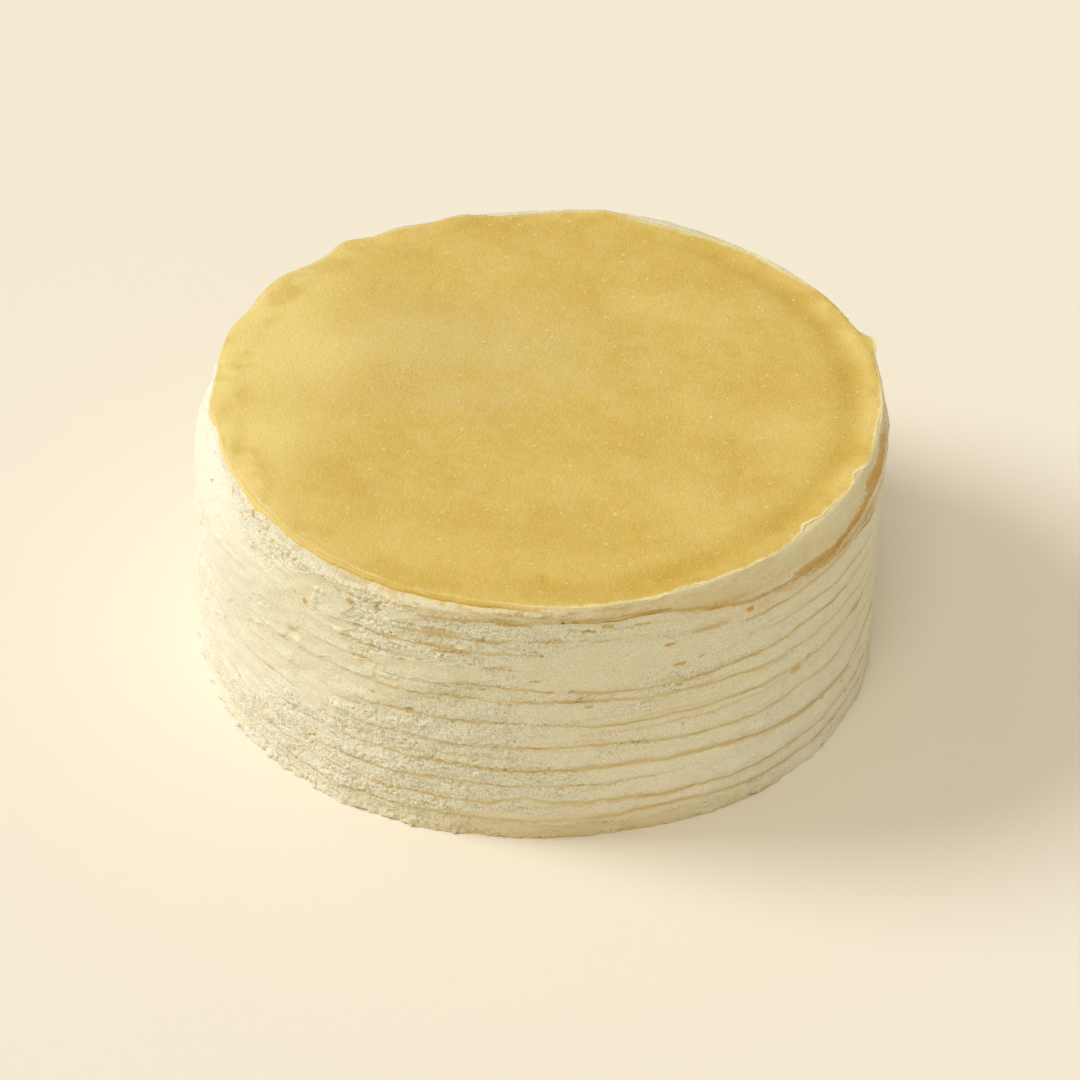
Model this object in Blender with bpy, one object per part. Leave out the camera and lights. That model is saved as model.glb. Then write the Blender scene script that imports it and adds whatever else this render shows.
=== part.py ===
"""A whole mille crepe cake, uncut.

Fourteen thin pancakes (crepes) lie one above the other with whipped custard cream between them.
Cream pressed out at the side has been scraped level, so each cream layer bulges a little past the
crepes' edges. The top crepe is left bare, and its rim folds down over the rounded shoulder.

Units are metres, +Z is up, and the origin is the centre of the flat base. Every crepe and every
cream layer is a separate closed solid that runs right through the cake.
"""

import math

import bmesh
import bpy

MM = 0.001

# Driving dimensions.
CREPE_COUNT = 14
CAKE_HEIGHT = 84.0 * MM
CREPE_THICKNESS = 1.2 * MM
LAYER_GAP = 0.3 * MM  # clearance between touching layers
FOOT_RADIUS = 103.4 * MM  # scraped cream where it meets the board
SHOULDER_RADIUS = 102.4 * MM  # scraped cream just under the shoulder
TOP_CREPE_RADIUS = 98.3 * MM
CREPE_INSET = 0.9 * MM  # how far the crepes' edges lie behind the scraped cream
CREAM_BULGE = 0.5 * MM  # how far a cream layer swells between its two crepes
TOP_RIM_FOLD = 2.3 * MM  # how far the top crepe's rim hangs below its middle
FOLD_SHARE = 0.972  # share of the top crepe's radius where it starts to turn down
FOLD_START_DROP = 0.15 * MM  # how far it has dropped by there
RIM_LIP_SHARE = 1.006  # the folded rim leans out, so its outer face is a little wider

# Unevenness that a hand-stacked cake has.
# Thick and thin cream layers up the stack: (turn per layer, share of the mean thickness, start).
THICKNESS_WAVES = ((0.45, 0.22, -0.6), (1.1, 0.12, 1.6))
RIPPLE_HEIGHT = 1.0 * MM  # rise and fall of each layer's rim
FULL_RIPPLE_LAYER = 3  # the layers below lie flatter, down to a flat base
# Waves round the cake: (waves in a turn, height, phase).
SIDE_WAVES = ((2, 0.20 * MM, 0.9), (3, 0.25 * MM, 2.6), (4, 0.70 * MM, 2.1), (5, 0.15 * MM, 4.4))
# The top crepe lies 2.7 mm off the stack's axis, towards +X and -Y.
TOP_CREPE_WAVES = (
    (1, 2.70 * MM, 0.62),
    (2, 0.55 * MM, 5.2),
    (3, 1.00 * MM, 4.6),
    (5, 0.20 * MM, 5.3),
)
# Waves of a layer's rim: (waves in a turn, share of the height, phase, phase shift per layer).
RIPPLE_WAVES = (
    (1, 1.10, 0.35, 0.03),
    (2, 0.45, 1.7, 0.40),
    (3, 0.30, 4.1, -0.55),
    (5, 0.20, 2.2, 0.90),
)

# Meshing.
SEGMENTS = 40  # facets round the cake
INNER_SHARE = 0.88  # a layer is flat inside this share of its radius
INNER_RIPPLE = 0.15  # share of the rim's ripple that reaches the inner ring
SHARP_ANGLE = 40  # degrees; edges that turn more than this are shaded sharp

# Linear colour and roughness.
CREPE_FINISH = ((0.72, 0.46, 0.17), 0.6)
TOP_CREPE_FINISH = ((0.74, 0.52, 0.14), 0.45)
CREAM_FINISH = ((0.80, 0.71, 0.47), 0.5)


def clear_scene():
    for obj in list(bpy.data.objects):
        bpy.data.objects.remove(obj, do_unlink=True)


def matte(name, colour, roughness):
    material = bpy.data.materials.new(name)
    material.use_nodes = True
    shader = material.node_tree.nodes["Principled BSDF"]
    shader.inputs["Base Color"].default_value = (*colour, 1.0)
    shader.inputs["Roughness"].default_value = roughness
    shader.inputs["Metallic"].default_value = 0.0
    return material


def waves(table, angle):
    """Sum of cosines round the cake, each given as (turns, height, phase)."""
    return sum(height * math.cos(turns * angle + phase) for turns, height, phase in table)


def side_radius(height, angle):
    """Radius of the scraped side: a slight taper from foot to shoulder, and a few broad waves."""
    taper = FOOT_RADIUS + (SHOULDER_RADIUS - FOOT_RADIUS) * height / CAKE_HEIGHT
    return taper + waves(SIDE_WAVES, angle)


def rim_ripple(layer, angle):
    """Rise of crepe number `layer` at its rim; the pattern drifts slowly from layer to layer."""
    strength = min(1.0, layer / FULL_RIPPLE_LAYER)
    shape = sum(
        share * math.cos(turns * angle + phase + drift * layer)
        for turns, share, phase, drift in RIPPLE_WAVES
    )
    return RIPPLE_HEIGHT * strength * shape


def crepe_floors():
    """Height of the underside of each crepe, from the base up, with uneven cream between them."""
    gaps = [
        1 + sum(share * math.sin(turn * layer + start) for turn, share, start in THICKNESS_WAVES)
        for layer in range(CREPE_COUNT - 1)
    ]
    scale = (CAKE_HEIGHT - CREPE_THICKNESS) / sum(gaps)
    floors = [0.0]
    for gap in gaps:
        floors.append(floors[-1] + gap * scale)
    return floors


def ring(radius_at, height_at, share):
    """Points round the axis at a share of the radius; radius and height depend on the angle."""
    points = []
    for step in range(SEGMENTS):
        angle = 2 * math.pi * step / SEGMENTS
        radius = radius_at(angle) * share
        points.append((radius * math.cos(angle), radius * math.sin(angle), height_at(angle)))
    return points


def closed_disc(name, rings, low_centre, high_centre, material):
    """One closed solid from rings listed from inside the underside, round the rim, to inside the top."""
    mesh_builder = bmesh.new()
    lowest = mesh_builder.verts.new((0.0, 0.0, low_centre))
    highest = mesh_builder.verts.new((0.0, 0.0, high_centre))
    loops = [[mesh_builder.verts.new(point) for point in points] for points in rings]
    for step in range(SEGMENTS):
        after = (step + 1) % SEGMENTS
        mesh_builder.faces.new((lowest, loops[0][after], loops[0][step]))
        mesh_builder.faces.new((highest, loops[-1][step], loops[-1][after]))
        for inner, outer in zip(loops, loops[1:]):
            mesh_builder.faces.new((inner[step], inner[after], outer[after]))
            mesh_builder.faces.new((inner[step], outer[after], outer[step]))
    mesh = bpy.data.meshes.new(name)
    mesh_builder.to_mesh(mesh)
    mesh_builder.free()
    mesh.shade_smooth()
    mesh.set_sharp_from_angle(angle=math.radians(SHARP_ANGLE))
    mesh.materials.append(material)
    obj = bpy.data.objects.new(name, mesh)
    bpy.context.scene.collection.objects.link(obj)
    return obj


def raised(height, layer, strength):
    """Height function of a ring on crepe number `layer`, following a share of its ripple."""
    return lambda angle: height + strength * rim_ripple(layer, angle)


def add_inner_crepe(layer, floor, material):
    """A thin pancake buried in the stack, its edge a little behind the scraped cream."""
    ceiling = floor + CREPE_THICKNESS

    def radius(angle):
        return side_radius(floor, angle) - CREPE_INSET

    rings = [
        ring(radius, raised(floor, layer, INNER_RIPPLE), INNER_SHARE),
        ring(radius, raised(floor, layer, 1.0), 1.0),
        ring(radius, raised(ceiling, layer, 1.0), 1.0),
        ring(radius, raised(ceiling, layer, INNER_RIPPLE), INNER_SHARE),
    ]
    return closed_disc(f"crepe_{layer + 1:02d}", rings, floor, ceiling, material)


def top_crepe_radius(angle):
    return TOP_CREPE_RADIUS + waves(TOP_CREPE_WAVES, angle)


def add_cream(layer, floor, ceiling, material):
    """The cream between crepe number `layer` and the next, swelling outwards at its middle."""
    middle = (floor + ceiling) / 2

    def low_radius(angle):
        return side_radius(floor, angle) - CREAM_BULGE

    def middle_radius(angle):
        return side_radius(middle, angle)

    def high_radius(angle):
        return side_radius(ceiling, angle) - CREAM_BULGE

    def middle_height(angle):
        return middle + (rim_ripple(layer, angle) + rim_ripple(layer + 1, angle)) / 2

    rings = [
        ring(low_radius, raised(floor, layer, INNER_RIPPLE), INNER_SHARE),
        ring(low_radius, raised(floor, layer, 1.0), 1.0),
        ring(middle_radius, middle_height, 1.0),
        ring(high_radius, raised(ceiling, layer + 1, 1.0), 1.0),
        ring(high_radius, raised(ceiling, layer + 1, INNER_RIPPLE), INNER_SHARE),
    ]
    return closed_disc(f"cream_{layer + 1:02d}", rings, floor, ceiling, material)


def add_shoulder_cream(layer, floor, ceiling, material):
    """The last cream layer: a low side and a ledge, then up under the top crepe's folded rim."""
    ledge = ceiling - TOP_RIM_FOLD

    def low_radius(angle):
        return side_radius(floor, angle) - CREAM_BULGE

    def middle_radius(angle):
        return side_radius(floor, angle)

    def middle_height(angle):
        return (floor + rim_ripple(layer, angle) + ledge + rim_ripple(layer + 1, angle)) / 2

    def ledge_radius(angle):
        return (side_radius(floor, angle) + top_crepe_radius(angle)) / 2

    rings = [
        ring(low_radius, raised(floor, layer, INNER_RIPPLE), INNER_SHARE),
        ring(low_radius, raised(floor, layer, 1.0), 1.0),
        ring(middle_radius, middle_height, 1.0),
        ring(ledge_radius, raised(ledge, layer + 1, 1.0), 1.0),
        ring(top_crepe_radius, raised(ledge, layer + 1, 1.0), 1.0),
        ring(top_crepe_radius, raised(ceiling - FOLD_START_DROP, layer + 1, 1.0), FOLD_SHARE),
        ring(top_crepe_radius, raised(ceiling, layer + 1, INNER_RIPPLE), INNER_SHARE),
    ]
    return closed_disc(f"cream_{layer + 1:02d}", rings, floor, ceiling, material)


def add_top_crepe(floor, material):
    """The bare top pancake: flat in the middle, its rim folded down over the rounded shoulder."""
    layer = CREPE_COUNT - 1
    ceiling = floor + CREPE_THICKNESS
    rings = [
        ring(top_crepe_radius, raised(floor, layer, INNER_RIPPLE), INNER_SHARE),
        ring(top_crepe_radius, raised(floor - FOLD_START_DROP, layer, 1.0), FOLD_SHARE),
        ring(top_crepe_radius, raised(floor - TOP_RIM_FOLD, layer, 1.0), 1.0),
        ring(top_crepe_radius, raised(ceiling - TOP_RIM_FOLD, layer, 1.0), RIM_LIP_SHARE),
        ring(top_crepe_radius, raised(ceiling - FOLD_START_DROP, layer, 1.0), FOLD_SHARE * RIM_LIP_SHARE),
        ring(top_crepe_radius, raised(ceiling, layer, INNER_RIPPLE), INNER_SHARE),
    ]
    return closed_disc("top_crepe", rings, floor, ceiling, material)


def build_cake():
    clear_scene()
    crepe_material = matte("crepe_edge", *CREPE_FINISH)
    cream_material = matte("cream", *CREAM_FINISH)
    top_material = matte("top_crepe", *TOP_CREPE_FINISH)
    floors = crepe_floors()
    for layer in range(CREPE_COUNT - 1):
        add_inner_crepe(layer, floors[layer], crepe_material)
        cream_floor = floors[layer] + CREPE_THICKNESS + LAYER_GAP
        cream_ceiling = floors[layer + 1] - LAYER_GAP
        make_cream = add_shoulder_cream if layer == CREPE_COUNT - 2 else add_cream
        make_cream(layer, cream_floor, cream_ceiling, cream_material)
    add_top_crepe(floors[-1], top_material)


build_cake()
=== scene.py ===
"""A whole mille crepe cake, uncut: fourteen crepes with custard cream between them.

The side is cream scraped level with a palette knife, so the crepes' edges show as thin brown lines,
and the bare top crepe folds down over the shoulder. Lengths here are millimetres, which
`make_piece` turns into metres. Every array over the side has one column for each lane round the
cake, starting at +X and going towards +Y.
"""

import bpy
import numpy as np
from mathutils import Matrix, Vector


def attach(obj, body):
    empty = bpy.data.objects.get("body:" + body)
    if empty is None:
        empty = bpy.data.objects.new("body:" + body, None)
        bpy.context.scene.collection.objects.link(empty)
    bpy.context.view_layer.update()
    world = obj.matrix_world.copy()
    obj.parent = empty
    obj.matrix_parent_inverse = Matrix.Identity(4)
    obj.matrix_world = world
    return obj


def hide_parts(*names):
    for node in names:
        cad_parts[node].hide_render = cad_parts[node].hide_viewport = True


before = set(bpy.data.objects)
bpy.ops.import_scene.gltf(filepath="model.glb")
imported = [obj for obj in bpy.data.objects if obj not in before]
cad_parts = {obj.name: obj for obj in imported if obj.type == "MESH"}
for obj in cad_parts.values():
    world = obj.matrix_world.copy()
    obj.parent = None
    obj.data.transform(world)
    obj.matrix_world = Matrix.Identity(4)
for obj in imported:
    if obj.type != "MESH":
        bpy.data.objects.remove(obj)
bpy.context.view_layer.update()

# ------------------------------------------------------------
# The stack. Crepes fried in one pan and piled up by hand with cream between them, so each rim dips
# and rises a little round the cake. The rims are read from the part's solids.
MM = 0.001
LAYERS = 13  # crepes inside the stack, each with a layer of cream on it
LANES = 1760
RIM_WAVES = 5  # most waves in a turn that a rim is fitted with
turn = np.arange(LANES) / LANES
azimuth, angle = 360 * turn, 2 * np.pi * turn


def waves_round(spin):
    """Columns of 1, cos(n spin) and sin(n spin), for n from 1 to RIM_WAVES."""
    turns = np.outer(spin, np.arange(1, RIM_WAVES + 1))
    return np.hstack([np.ones((len(spin), 1)), np.cos(turns), np.sin(turns)])


def solid_points(node):
    """The points of a node's solid, in millimetres, and each one's distance from the axis."""
    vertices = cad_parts[node].data.vertices
    points = np.empty(3 * len(vertices), np.float32)
    vertices.foreach_get("co", points)
    points = points.reshape(-1, 3) / MM
    return points, np.hypot(points[:, 0], points[:, 1])


def rim_of(node):
    """Height and radius of a layer's rim in every lane: the waves that fit its solid's outer points best.

    A first fit goes through all points past 0.93 of the widest, and a second through the outermost of those.
    """
    points, radius = solid_points(node)
    kept = radius > 0.93 * radius.max()
    for _ in range(2):
        rim, reach = points[kept], radius[kept]
        round_it = waves_round(np.arctan2(rim[:, 1], rim[:, 0]))
        fit = np.linalg.lstsq(round_it, np.c_[rim[:, 2], reach], rcond=None)[0]
        outline = waves_round(np.arctan2(points[:, 1], points[:, 0])) @ fit[:, 1]
        kept = radius > 0.995 * outline
    return (waves_round(angle) @ fit).T


crepe_names = [f"crepe_{number:02d}" for number in range(1, LAYERS + 1)]
rim_height, rim_radius = np.array([rim_of(name) for name in crepe_names]).transpose(1, 0, 2)
level = rim_height.mean(axis=1)  # height of each crepe inside the stack, where it lies flat

# ------------------------------------------------------------
# The scraped side. Whipped custard cream pressed out between the crepes and scraped level, smooth
# where a coat of it was spread, torn and porous where the knife dragged at the crepes' edges.
GIRTH = 650.0  # round the side
CREAM_OVER_CREPE = 0.9  # how far the scraped side stands out past the crepes' rims
OPEN_LINE = 0.70  # usual width of a crepe's edge where it shows
flat = np.zeros(LANES)  # height 0 in every lane, for patterns that only run round the cake


def bumps(across, up, wrap, seed):
    """Smooth random bumps between about -1 and 1, one to a cell, repeating after `wrap` cells across.

    Every corner of the grid of cells has a slope in a random direction. A point blends the planes
    through its cell's four corners with 6t^5 - 15t^4 + 10t^3.
    """
    lean = 2 * np.pi * np.random.default_rng(seed).random((wrap, 256))
    left, low = np.floor(across), np.floor(up)
    x, y = across - left, up - low

    def plane(right, above):
        direction = lean[(left + right).astype(int) % wrap, (low + above).astype(int) % 256]
        return np.cos(direction) * (x - right) + np.sin(direction) * (y - above)

    blend_x, blend_y = (t**3 * (t * (6 * t - 15) + 10) for t in (x, y))
    below = plane(0, 0) + blend_x * (plane(1, 0) - plane(0, 0))
    over = plane(0, 1) + blend_x * (plane(1, 1) - plane(0, 1))
    return 1.5 * (below + blend_y * (over - below))


def side_bumps(height, length, tall, seed):
    """Bumps over the side, each about `length` round the cake and `tall` upwards."""
    cells = round(GIRTH / length)
    return bumps(turn * cells, height / tall, cells, seed)


def rim_bumps(length, seed):
    """Bumps that only run round the cake, each about `length` long."""
    return side_bumps(flat, length, 1, seed)


def specks(across, up, wrap, seed):
    """Distance, in cells, to the nearest of one random point in each cell, and that one's random share."""
    rng = np.random.default_rng(seed)
    place_x, place_y, share = rng.random((3, wrap, 256))
    left, low = np.floor(across), np.floor(up)
    nearest = np.full(np.broadcast(across, up).shape, 9.0)
    own = np.zeros_like(nearest)
    for right in (-1, 0, 1):
        for above in (-1, 0, 1):
            cell = (left + right).astype(int) % wrap, (low + above).astype(int) % 256
            away = np.hypot(left + right + place_x[cell] - across, low + above + place_y[cell] - up)
            own = np.where(away < nearest, share[cell], own)
            nearest = np.minimum(away, nearest)
    return nearest, own


def side_specks(height, spacing, seed):
    """Distance in millimetres to the nearest speck on the side, and the speck's own random share."""
    cells = round(GIRTH / spacing)
    away, own = specks(turn * cells, height / spacing, cells, seed)
    return away * spacing, own


def step(value, low, high):
    """0 below `low`, 1 above `high`, and 3t^2 - 2t^3 between."""
    t = np.clip((value - low) / (high - low), 0, 1)
    return t * t * (3 - 2 * t)


def around(height, at, size):
    """A bell, exp(-(a^2 + b^2)), over the side: a and b are the distances round the cake and upwards
    from `at` (azimuth in degrees, height), each divided by its part of `size`.
    """
    aside = ((azimuth - at[0] + 180) % 360 - 180) / 360 * GIRTH
    return np.exp(-((aside / size[0]) ** 2) - ((height - at[1]) / size[1]) ** 2)


def beside(at, half_length):
    """A bell round the cake, exp(-a^2): a is the distance from azimuth `at` over its half length."""
    return around(flat, (at, 0), (half_length, 1))


def placed(height, table):
    """The sum of a table's bells over the side: (azimuth, height, half length, half height, strength)."""
    return sum(strength * around(height, at, (long, tall)) for *at, long, tall, strength in table)


def of_crepe(layer, table):
    """The sum of one crepe's bells in a table of (crepe, azimuth, half length, strength)."""
    return sum(strength * beside(at, long) for crepe, at, long, strength in table if crepe == layer)


def side_radius(height):
    """Radius of the plain scraped side: straight from the lowest crepe's rim to the highest one's, but
    drawn in towards the top at the back on the left.
    """
    low, high = rim_height[0].mean(), rim_height[-1].mean()
    share = (height - low) / (high - low)
    drawn_in = 5.4 * step(height, 61, 80) * step(np.cos(angle - np.radians(173)), 0.45, 0.88)
    return rim_radius[0] + share * (rim_radius[-1] - rim_radius[0]) + CREAM_OVER_CREPE - drawn_in


# Where a rim stands off its usual height: (crepe, azimuth, half length, lift).
LIFTED = (
    (1, 293, 16, 3.2),
    (1, 322, 40, -2.2),
    (2, 269, 6, 1.9),
    (2, 314, 45, -2.4),
    (4, 322, 38, -5),
    (5, 273, 60, 1.1),
    (5, 306, 30, -2.6),
    (6, 269, 40, 1.2),
    (7, 286, 70, 1.5),
    (7, 318, 40, -1.8),
    (8, 289, 40, -2.8),
    (10, 301, 70, 1.3),
    (10, 332, 26, 2.8),
    (12, 269, 26, 1.3),
    (12, 291, 10, 1.6),
    (12, 314, 32, -3.8),
    (12, 346, 14, 2.2),
)


def seam_height(layer):
    """Height of a crepe's edge where it shows: its rim's, plus long waves, plus short ones where the
    knife dragged it, plus the lifts above. The lowest crepe lies flat, and the next has half of them.
    """
    dragged = 0.4 + 0.9 * beside(245, 130)
    lift = 0.60 * rim_bumps(52, 90 + layer) + 0.50 * rim_bumps(22, 100 + layer) + 0.3
    lift += dragged * (0.28 * rim_bumps(8, 130 + layer) + 0.17 * rim_bumps(2.6, 160 + layer))
    return rim_height[layer] + (lift + of_crepe(layer, LIFTED)) * min(1.0, layer / 2)


# Where the knife laid a smooth coat over the crepes' edges, and where it tore the cream:
# (azimuth, height, half length, half height, strength).
COATED = (
    (285, 66, 32, 8, 1.9),
    (254, 60, 15, 3.4, 1.5),
    (234, 73, 13, 9, 2),
    (231, 60, 12, 7, 1.3),
    (213, 66, 26, 17, 1.2),
    (194, 44, 40, 30, 0.8),
    (239, 43, 9, 5, 1),
    (257, 70, 44, 3, -1),
    (250, 77.5, 9, 4, 1.15),
    (246, 20, 60, 22, -0.9),
    (311, 30, 90, 28, -0.7),
    (311, 78, 60, 5, -1.2),
    (218, 79, 24, 6, -2),
)
TORN = (
    (244, 68, 5.5, 9, 2.2),
    (258, 74, 18, 4, 1.6),
    (267, 66, 13, 7, 1.3),
    (263, 44, 22, 12, 0.6),
    (251, 20, 44, 20, 0.9),
    (226, 8, 40, 11, 0.8),
    (273, 76, 12, 3, 0.9),
    (299, 55, 22, 3, 0.7),
    (218, 78, 24, 6, 1),
    (326, 45, 60, 50, -0.5),
    (201, 50, 50, 30, -0.5),
)
# Shreds of crepe stuck in the cream, placed in the same way; the rest are strewn at random.
SHREDS = (
    (231.5, 67.9, 1, 0.9, 1),
    (229.1, 69, 0.5, 0.5, 0.8),
    (225.6, 77.2, 0.5, 1.2, 0.8),
    (215.5, 79.8, 1.2, 1.3, 0.8),
    (212.3, 82, 0.9, 0.8, 0.7),
    (220.5, 80.5, 0.8, 0.8, 0.7),
    (206.3, 77.5, 0.6, 1.3, 0.7),
    (217.2, 72.3, 0.4, 0.5, 0.7),
    (230, 56.6, 0.5, 0.6, 0.8),
    (240.5, 76, 1.6, 1, 0.7),
    (245.2, 76.6, 1, 1.1, 0.8),
    (266.5, 78.9, 5.5, 0.5, 0.9),
    (255, 73.8, 5, 1.5, 0.5),
    (262, 73, 2, 0.7, 0.8),
    (278.5, 76.8, 2.6, 0.6, 1),
    (281.5, 78.1, 1.8, 0.7, 0.9),
    (287, 77.4, 2.8, 0.5, 0.8),
    (257, 67.5, 6, 0.5, 0.8),
    (291.5, 68.9, 1.8, 0.7, 1),
    (298.5, 71.2, 6, 0.7, 0.6),
    (293.5, 60.6, 1.9, 0.8, 0.9),
    (322.5, 75.6, 7, 1.3, 1),
    (320, 77, 12, 1.6, 0.9),
    (327, 77.6, 9, 1.7, 0.9),
    (331, 79.2, 7, 1.7, 1),
    (335, 81, 7, 1.6, 1),
    (340, 82.6, 9, 1.4, 1),
    (347, 83.4, 12, 1.2, 0.9),
    (305.5, 72.9, 1.2, 0.8, 1.1),
    (279, 49.6, 1.4, 0.5, 0.8),
    (316.6, 40.8, 2, 2, 0.7),
    (319, 43, 0.8, 1.8, 0.8),
)

# Lumps of cream pushed up by the knife: placed as the coats are, then how far they stand out.
LUMPS = (
    (255.5, 65.5, 1.8, 1, 0.8),
    (233.5, 70, 1.2, 2.4, 0.6),
    (234.5, 74.3, 2, 1, 0.5),
    (259, 69.6, 1.8, 0.8, 0.5),
    (238.5, 63.8, 1.6, 1, 0.5),
    (267, 71.5, 2, 0.7, 0.5),
    (280, 73.8, 2.6, 0.7, 0.45),
    (247, 54, 3, 0.8, 0.5),
    (262, 24, 2, 1.8, 0.6),
    (238, 36, 2.6, 1, 0.5),
    (228, 44, 1.8, 1.4, 0.4),
)

# Long soft streaks of crepe drawn over the cream, placed as the coats are.
SMEARS = (
    (245, 30.3, 22, 0.5, 0.60),
    (247, 47.3, 9, 0.4, 0.50),
    (257, 54.9, 14, 0.6, 0.60),
    (281, 45.4, 30, 0.4, 0.50),
    (297, 39.4, 36, 0.5, 0.75),
    (276, 12.3, 20, 0.4, 0.50),
    (288, 76.8, 16, 0.5, 0.55),
    (301, 75.2, 26, 0.4, 0.40),
    (323, 75, 10, 1.7, 1.20),
    (337, 73.8, 28, 2.2, 1.10),
    (312, 73.2, 16, 1, 0.60),
    (299, 72, 20, 0.8, 0.50),
    (302, 78.6, 15, 1.5, 1.10),
    (262, 30, 18, 0.9, 0.40),
    (324, 14.3, 12, 0.4, 0.50),
)


def smears(height):
    """How much crepe the streaks leave: the table's bells, swaying up and down, and worn in spots."""
    sway = 0.5 * side_bumps(height, 20, 8, 18) + 0.2 * side_bumps(height, 5, 3, 19)
    worn = np.clip(0.75 + 0.6 * side_bumps(height, 7, 0.8, 9), 0, 1)
    return worn * placed(height + sway, SMEARS)


# Where single crepes stand out: (crepe, azimuth, half length, extra width).
SHOWN_MOST = (
    (4, 301, 55, 0.7),
    (12, 338, 34, 2.3),
    (12, 280, 40, 0.5),
    (11, 300, 50, -1.3),
    (9, 300, 40, -0.8),
    (3, 300, 50, -0.9),
    (2, 279, 40, 0.3),
)


def seam_width(layer, coat):
    """How wide a crepe's edge shows in every lane, or, below 0, how deep it is buried under cream.

    The usual width, less on the left, plus bumps of three lengths and the extra widths above, and less
    where a coat lies over it.
    """
    left = beside(196, 105) * step(layer, 3.0, 6.0)
    low_left = beside(210, 80) * (1 - step(layer, 3.0, 6.0))
    width = OPEN_LINE * (1.15 - 2.0 * left - 1.3 * low_left)
    width += 0.38 * rim_bumps(30, 200 + layer) + 0.34 * rim_bumps(9, 230 + layer)
    width += 0.22 * rim_bumps(3, 260 + layer) + of_crepe(layer, SHOWN_MOST)
    return width - 2.5 * coat - (0.5 if layer == 0 else 0)


def coated(height):
    """Share of smooth coat over the side, and of its lifted edge: where bumps of three sizes and the
    table's bells add up to more than 0, and a narrow band round there.
    """
    field = 0.75 * side_bumps(height, 34, 12, 20) + 0.40 * side_bumps(height, 10, 5, 21)
    field += 0.16 * side_bumps(height, 3, 2.2, 22) - 0.50 + placed(height, COATED)
    return step(field, -0.03, 0.07), np.exp(-(((field - 0.05) / 0.06) ** 2))


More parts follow.
